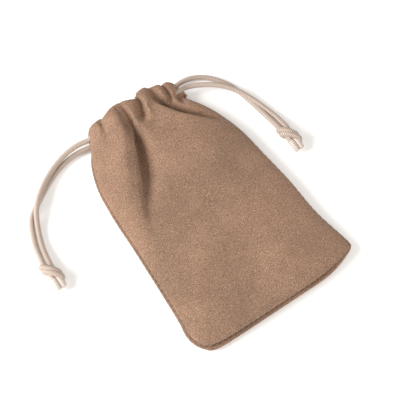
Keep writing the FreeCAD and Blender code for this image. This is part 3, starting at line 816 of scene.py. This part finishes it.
# ---- materials -----------------------------------------------------------------------------
class Nodes:
    """Short forms for building a material's nodes."""

    def __init__(self, name):
        self.material = bpy.data.materials.new(name)
        self.material.use_nodes = True
        self.tree = self.material.node_tree
        self.shader = self.tree.nodes["Principled BSDF"]

    def put(self, value, socket):
        """Links a socket in, or sets a constant."""
        if isinstance(value, bpy.types.NodeSocket):
            self.tree.links.new(value, socket)
        else:
            socket.default_value = value

    def add(self, kind, inputs=None, **settings):
        """A node with its settings and its inputs, by name."""
        node = self.tree.nodes.new(kind)
        for key, value in settings.items():
            setattr(node, key, value)
        for key, value in (inputs or {}).items():
            self.put(value, node.inputs[key])
        return node

    def shade(self, **inputs):
        """Sets or links the shader's inputs, with _ for each space in a name."""
        for key, value in inputs.items():
            self.put(value, self.shader.inputs[key.replace("_", " ")])

    def attribute(self, name, output):
        """A value that the mesh keeps at each point."""
        return self.add("ShaderNodeAttribute", attribute_name=name).outputs[output]

    def noise(self, vector, scale, detail=2.0, roughness=0.5):
        """Cloudy noise, around a half."""
        inputs = {"Vector": vector, "Scale": scale, "Detail": detail, "Roughness": roughness}
        return self.add("ShaderNodeTexNoise", inputs).outputs["Fac"]

    def spread(self, value, low, high):
        """A value from 0 to 1, taken to between low and high."""
        inputs = {"Value": value, "To Min": low, "To Max": high}
        return self.add("ShaderNodeMapRange", inputs).outputs["Result"]

    def ramp(self, value, stops):
        """Colours along a value, from pairs of a place and a colour."""
        node = self.add("ShaderNodeValToRGB", {"Fac": value})
        ramp = node.color_ramp
        while len(ramp.elements) < len(stops):
            ramp.elements.new(0.5)
        for element, (place, colour) in zip(ramp.elements, stops):
            element.position = place
            element.color = (*colour, 1.0)
        return node.outputs["Color"]

    def times(self, first, second):
        """One colour multiplied by another."""
        node = self.add("ShaderNodeMix", data_type="RGBA", blend_type="MULTIPLY")
        for number, value in ((0, 1.0), (6, first), (7, second)):
            self.put(value, node.inputs[number])
        return node.outputs[2]

    def math(self, operation, first, second=0.0):
        """A sum on two values."""
        node = self.add("ShaderNodeMath", operation=operation)
        for socket, value in zip(node.inputs, (first, second)):
            self.put(value, socket)
        return node.outputs[0]

    def bump(self, height, strength, distance, normal=None):
        """A bumped normal, with its distance in millimetres, over another one where given."""
        inputs = {"Height": height, "Strength": strength, "Distance": distance * MM}
        if normal is not None:
            inputs["Normal"] = normal
        return self.add("ShaderNodeBump", inputs).outputs["Normal"]


def suede_material():
    """Napped suede: mottled taupe with a fine grain, matt with a soft sheen."""
    n = Nodes("suede")
    rest = n.attribute("rest", "Vector")
    grain = n.noise(rest, 2.3, 3.0, 0.85)
    speck = n.noise(rest, 5.0, 2.0, 0.6)
    patch = n.noise(rest, 0.06, 3.0, 0.55)
    cloud = n.noise(rest, 0.02, 2.0, 0.5)
    dark, middle, light = (0.1, 0.056, 0.034), (0.272, 0.163, 0.11), (0.55, 0.363, 0.258)
    base = n.ramp(grain, ((0.33, dark), (0.5, middle), (0.67, light)))
    base = n.times(base, n.ramp(patch, ((0.3, (0.86, 0.85, 0.83)), (0.7, (1.12, 1.11, 1.1)))))
    base = n.times(base, n.ramp(cloud, ((0.35, (0.94, 0.95, 0.95)), (0.65, (1.05, 1.04, 1.03)))))
    painted_seam_shade = n.attribute("painted_groove_shade", "Fac")
    # Painted shade darkens the suede in the seams' groove.
    base = n.times(base, n.ramp(painted_seam_shade, ((0.0, (1.0, 1.0, 1.0)), (1.0, (0.34, 0.3, 0.28)))))
    nap = n.bump(speck, 0.4, 0.12)
    n.shade(
        Base_Color=base, Roughness=n.spread(patch, 0.86, 0.98), Sheen_Weight=0.25,
        Sheen_Roughness=0.55, Sheen_Tint=(0.9, 0.78, 0.66, 1.0), Specular_IOR_Level=0.2,
        Normal=n.bump(grain, 0.5, 0.35, nap))
    return n.material


def cord_material(name, shade, middle, painted_highlight):
    """Knitted satin cord: ribs with a painted highlight, and painted shade in the lines between them."""
    n = Nodes(name)
    rest = n.attribute("rest", "Vector")
    turns = n.math("MULTIPLY", n.attribute("around", "Fac"), RIB_TURNS)
    chevron = n.math("ABSOLUTE", n.math("SUBTRACT", n.math("MODULO", turns, 2.0), 1.0))
    pitches = n.math("DIVIDE", n.attribute("along", "Fac"), RIB_PITCH)
    phase = n.math("ADD", pitches, n.math("MULTIPLY", chevron, RIB_SLANT))
    wave = n.math("COSINE", n.math("MULTIPLY", phase, 2.0 * math.pi))
    wave = n.math("MULTIPLY", n.math("ADD", wave, 1.0), 0.5)
    fibre = n.noise(rest, 4.0, 2.0, 0.6)
    # Painted shade in the lines between the ribs, a painted highlight on the ribs.
    base = n.ramp(wave, ((0.0, shade), (0.45, middle), (1.0, painted_highlight)))
    base = n.times(base, n.ramp(fibre, ((0.3, (0.78, 0.74, 0.72)), (0.7, (1.12, 1.1, 1.09)))))
    n.shade(
        Base_Color=base, Roughness=n.spread(wave, 0.55, 0.32), Sheen_Weight=0.3,
        Sheen_Roughness=0.3, Specular_IOR_Level=0.6, Normal=n.bump(fibre, 0.25, 0.06))
    return n.material


def thread_material():
    """Sewing thread: the suede's colour a shade darker, twisted and faintly shiny."""
    n = Nodes("thread")
    place = n.add("ShaderNodeTexCoord").outputs["Object"]
    twist = n.add("ShaderNodeTexWave", {"Vector": place, "Scale": 900.0, "Distortion": 2.0}).outputs["Fac"]
    base = n.ramp(twist, ((0.2, (0.2, 0.12, 0.075)), (0.8, (0.38, 0.25, 0.17))))
    n.shade(Base_Color=base, Roughness=0.6, Normal=n.bump(twist, 0.4, 0.05))
    return n.material


def floor_material():
    """A plain pale surface."""
    n = Nodes("floor")
    place = n.add("ShaderNodeTexCoord").outputs["Object"]
    white = n.ramp(n.noise(place, 3.0), ((0.3, (0.9, 0.9, 0.9)), (0.7, (0.915, 0.915, 0.915))))
    n.shade(
        Base_Color=white, Emission_Color=white, Emission_Strength=0.22, Roughness=0.8,
        Specular_IOR_Level=0.1)
    return n.material


def dress(piece, material):
    """Gives a piece its material."""
    piece.data.materials.clear()
    piece.data.materials.append(material)


# ---- the scene ------------------------------------------------------------------------------
def add_floor(material):
    """A wide flat floor, just under the pouch."""
    corners = [(x * FLOOR_HALF, y * FLOOR_HALF, 0.0) for x, y in ((-1, -1), (1, -1), (1, 1), (-1, 1))]
    mesh = bpy.data.meshes.new("floor")
    mesh.from_pydata(corners, [], [(0, 1, 2, 3)])
    floor = bpy.data.objects.new("floor", mesh)
    floor.location.z = -FLOOR_DROP
    bpy.context.scene.collection.objects.link(floor)
    mesh.materials.append(material)


def add_light(name, place, size, watts):
    """A square soft white light aimed at the pouch."""
    light = bpy.data.lights.new(name, "AREA")
    light.size = size
    light.energy = watts
    holder = bpy.data.objects.new(name, light)
    holder.location = place
    holder.rotation_euler = (CAMERA_TARGET - Vector(place)).to_track_quat("-Z", "Y").to_euler()
    bpy.context.scene.collection.objects.link(holder)


def add_camera():
    """The camera: from the lower left, well above the pouch."""
    back = Vector((
        math.sin(CAMERA_AZIMUTH) * math.cos(CAMERA_ELEVATION),
        -math.cos(CAMERA_AZIMUTH) * math.cos(CAMERA_ELEVATION),
        math.sin(CAMERA_ELEVATION),
    ))
    data = bpy.data.cameras.new("camera")
    data.lens = CAMERA_LENS
    data.sensor_width = SENSOR_WIDTH
    data.clip_start = 0.01
    camera = bpy.data.objects.new("camera", data)
    camera.location = CAMERA_TARGET + back * CAMERA_DISTANCE
    camera.rotation_euler = (-back).to_track_quat("-Z", "Y").to_euler()
    bpy.context.scene.collection.objects.link(camera)
    bpy.context.scene.camera = camera


def add_surroundings():
    """Even, faintly warm light from all round."""
    world = bpy.data.worlds.new("studio")
    world.use_nodes = True
    background = world.node_tree.nodes["Background"]
    background.inputs["Color"].default_value = (1.0, 0.95, 0.88, 1.0)
    background.inputs["Strength"].default_value = 0.5
    bpy.context.scene.world = world
    bpy.context.scene.view_settings.view_transform = "Standard"


def build():
    """Every piece and its material."""
    suede = suede_material()
    thread = thread_material()
    # Each cord's colours: painted shade between the ribs, the middle tone, and a painted highlight on the
    # ribs.
    cord = cord_material("cord", (0.22, 0.15, 0.11), (0.5, 0.4, 0.335), (0.72, 0.63, 0.56))
    sealed = cord_material("sealed_cord", (0.36, 0.29, 0.25), (0.66, 0.58, 0.52), (0.85, 0.79, 0.74))
    front, edge = front_sheet()
    facing = front_facing(edge)
    back = back_sheet()
    for piece in (front, facing, back):
        dress(piece, suede)
    for side, route in (("left", LEFT_ROUTE), ("right", RIGHT_ROUTE)):
        satin, knot, ends = drawstring(side, route)
        dress(satin, cord)
        dress(knot, cord)
        dress(ends, sealed)
    for row in channel_stitches() + seam_stitches():
        dress(row, thread)


build()
add_floor(floor_material())
add_light("key", place=(-0.95, 0.42, 0.66), size=0.6, watts=18.5)
add_light("fill", place=(0.15, -0.95, 0.6), size=0.7, watts=5.5)
add_camera()
add_surroundings()
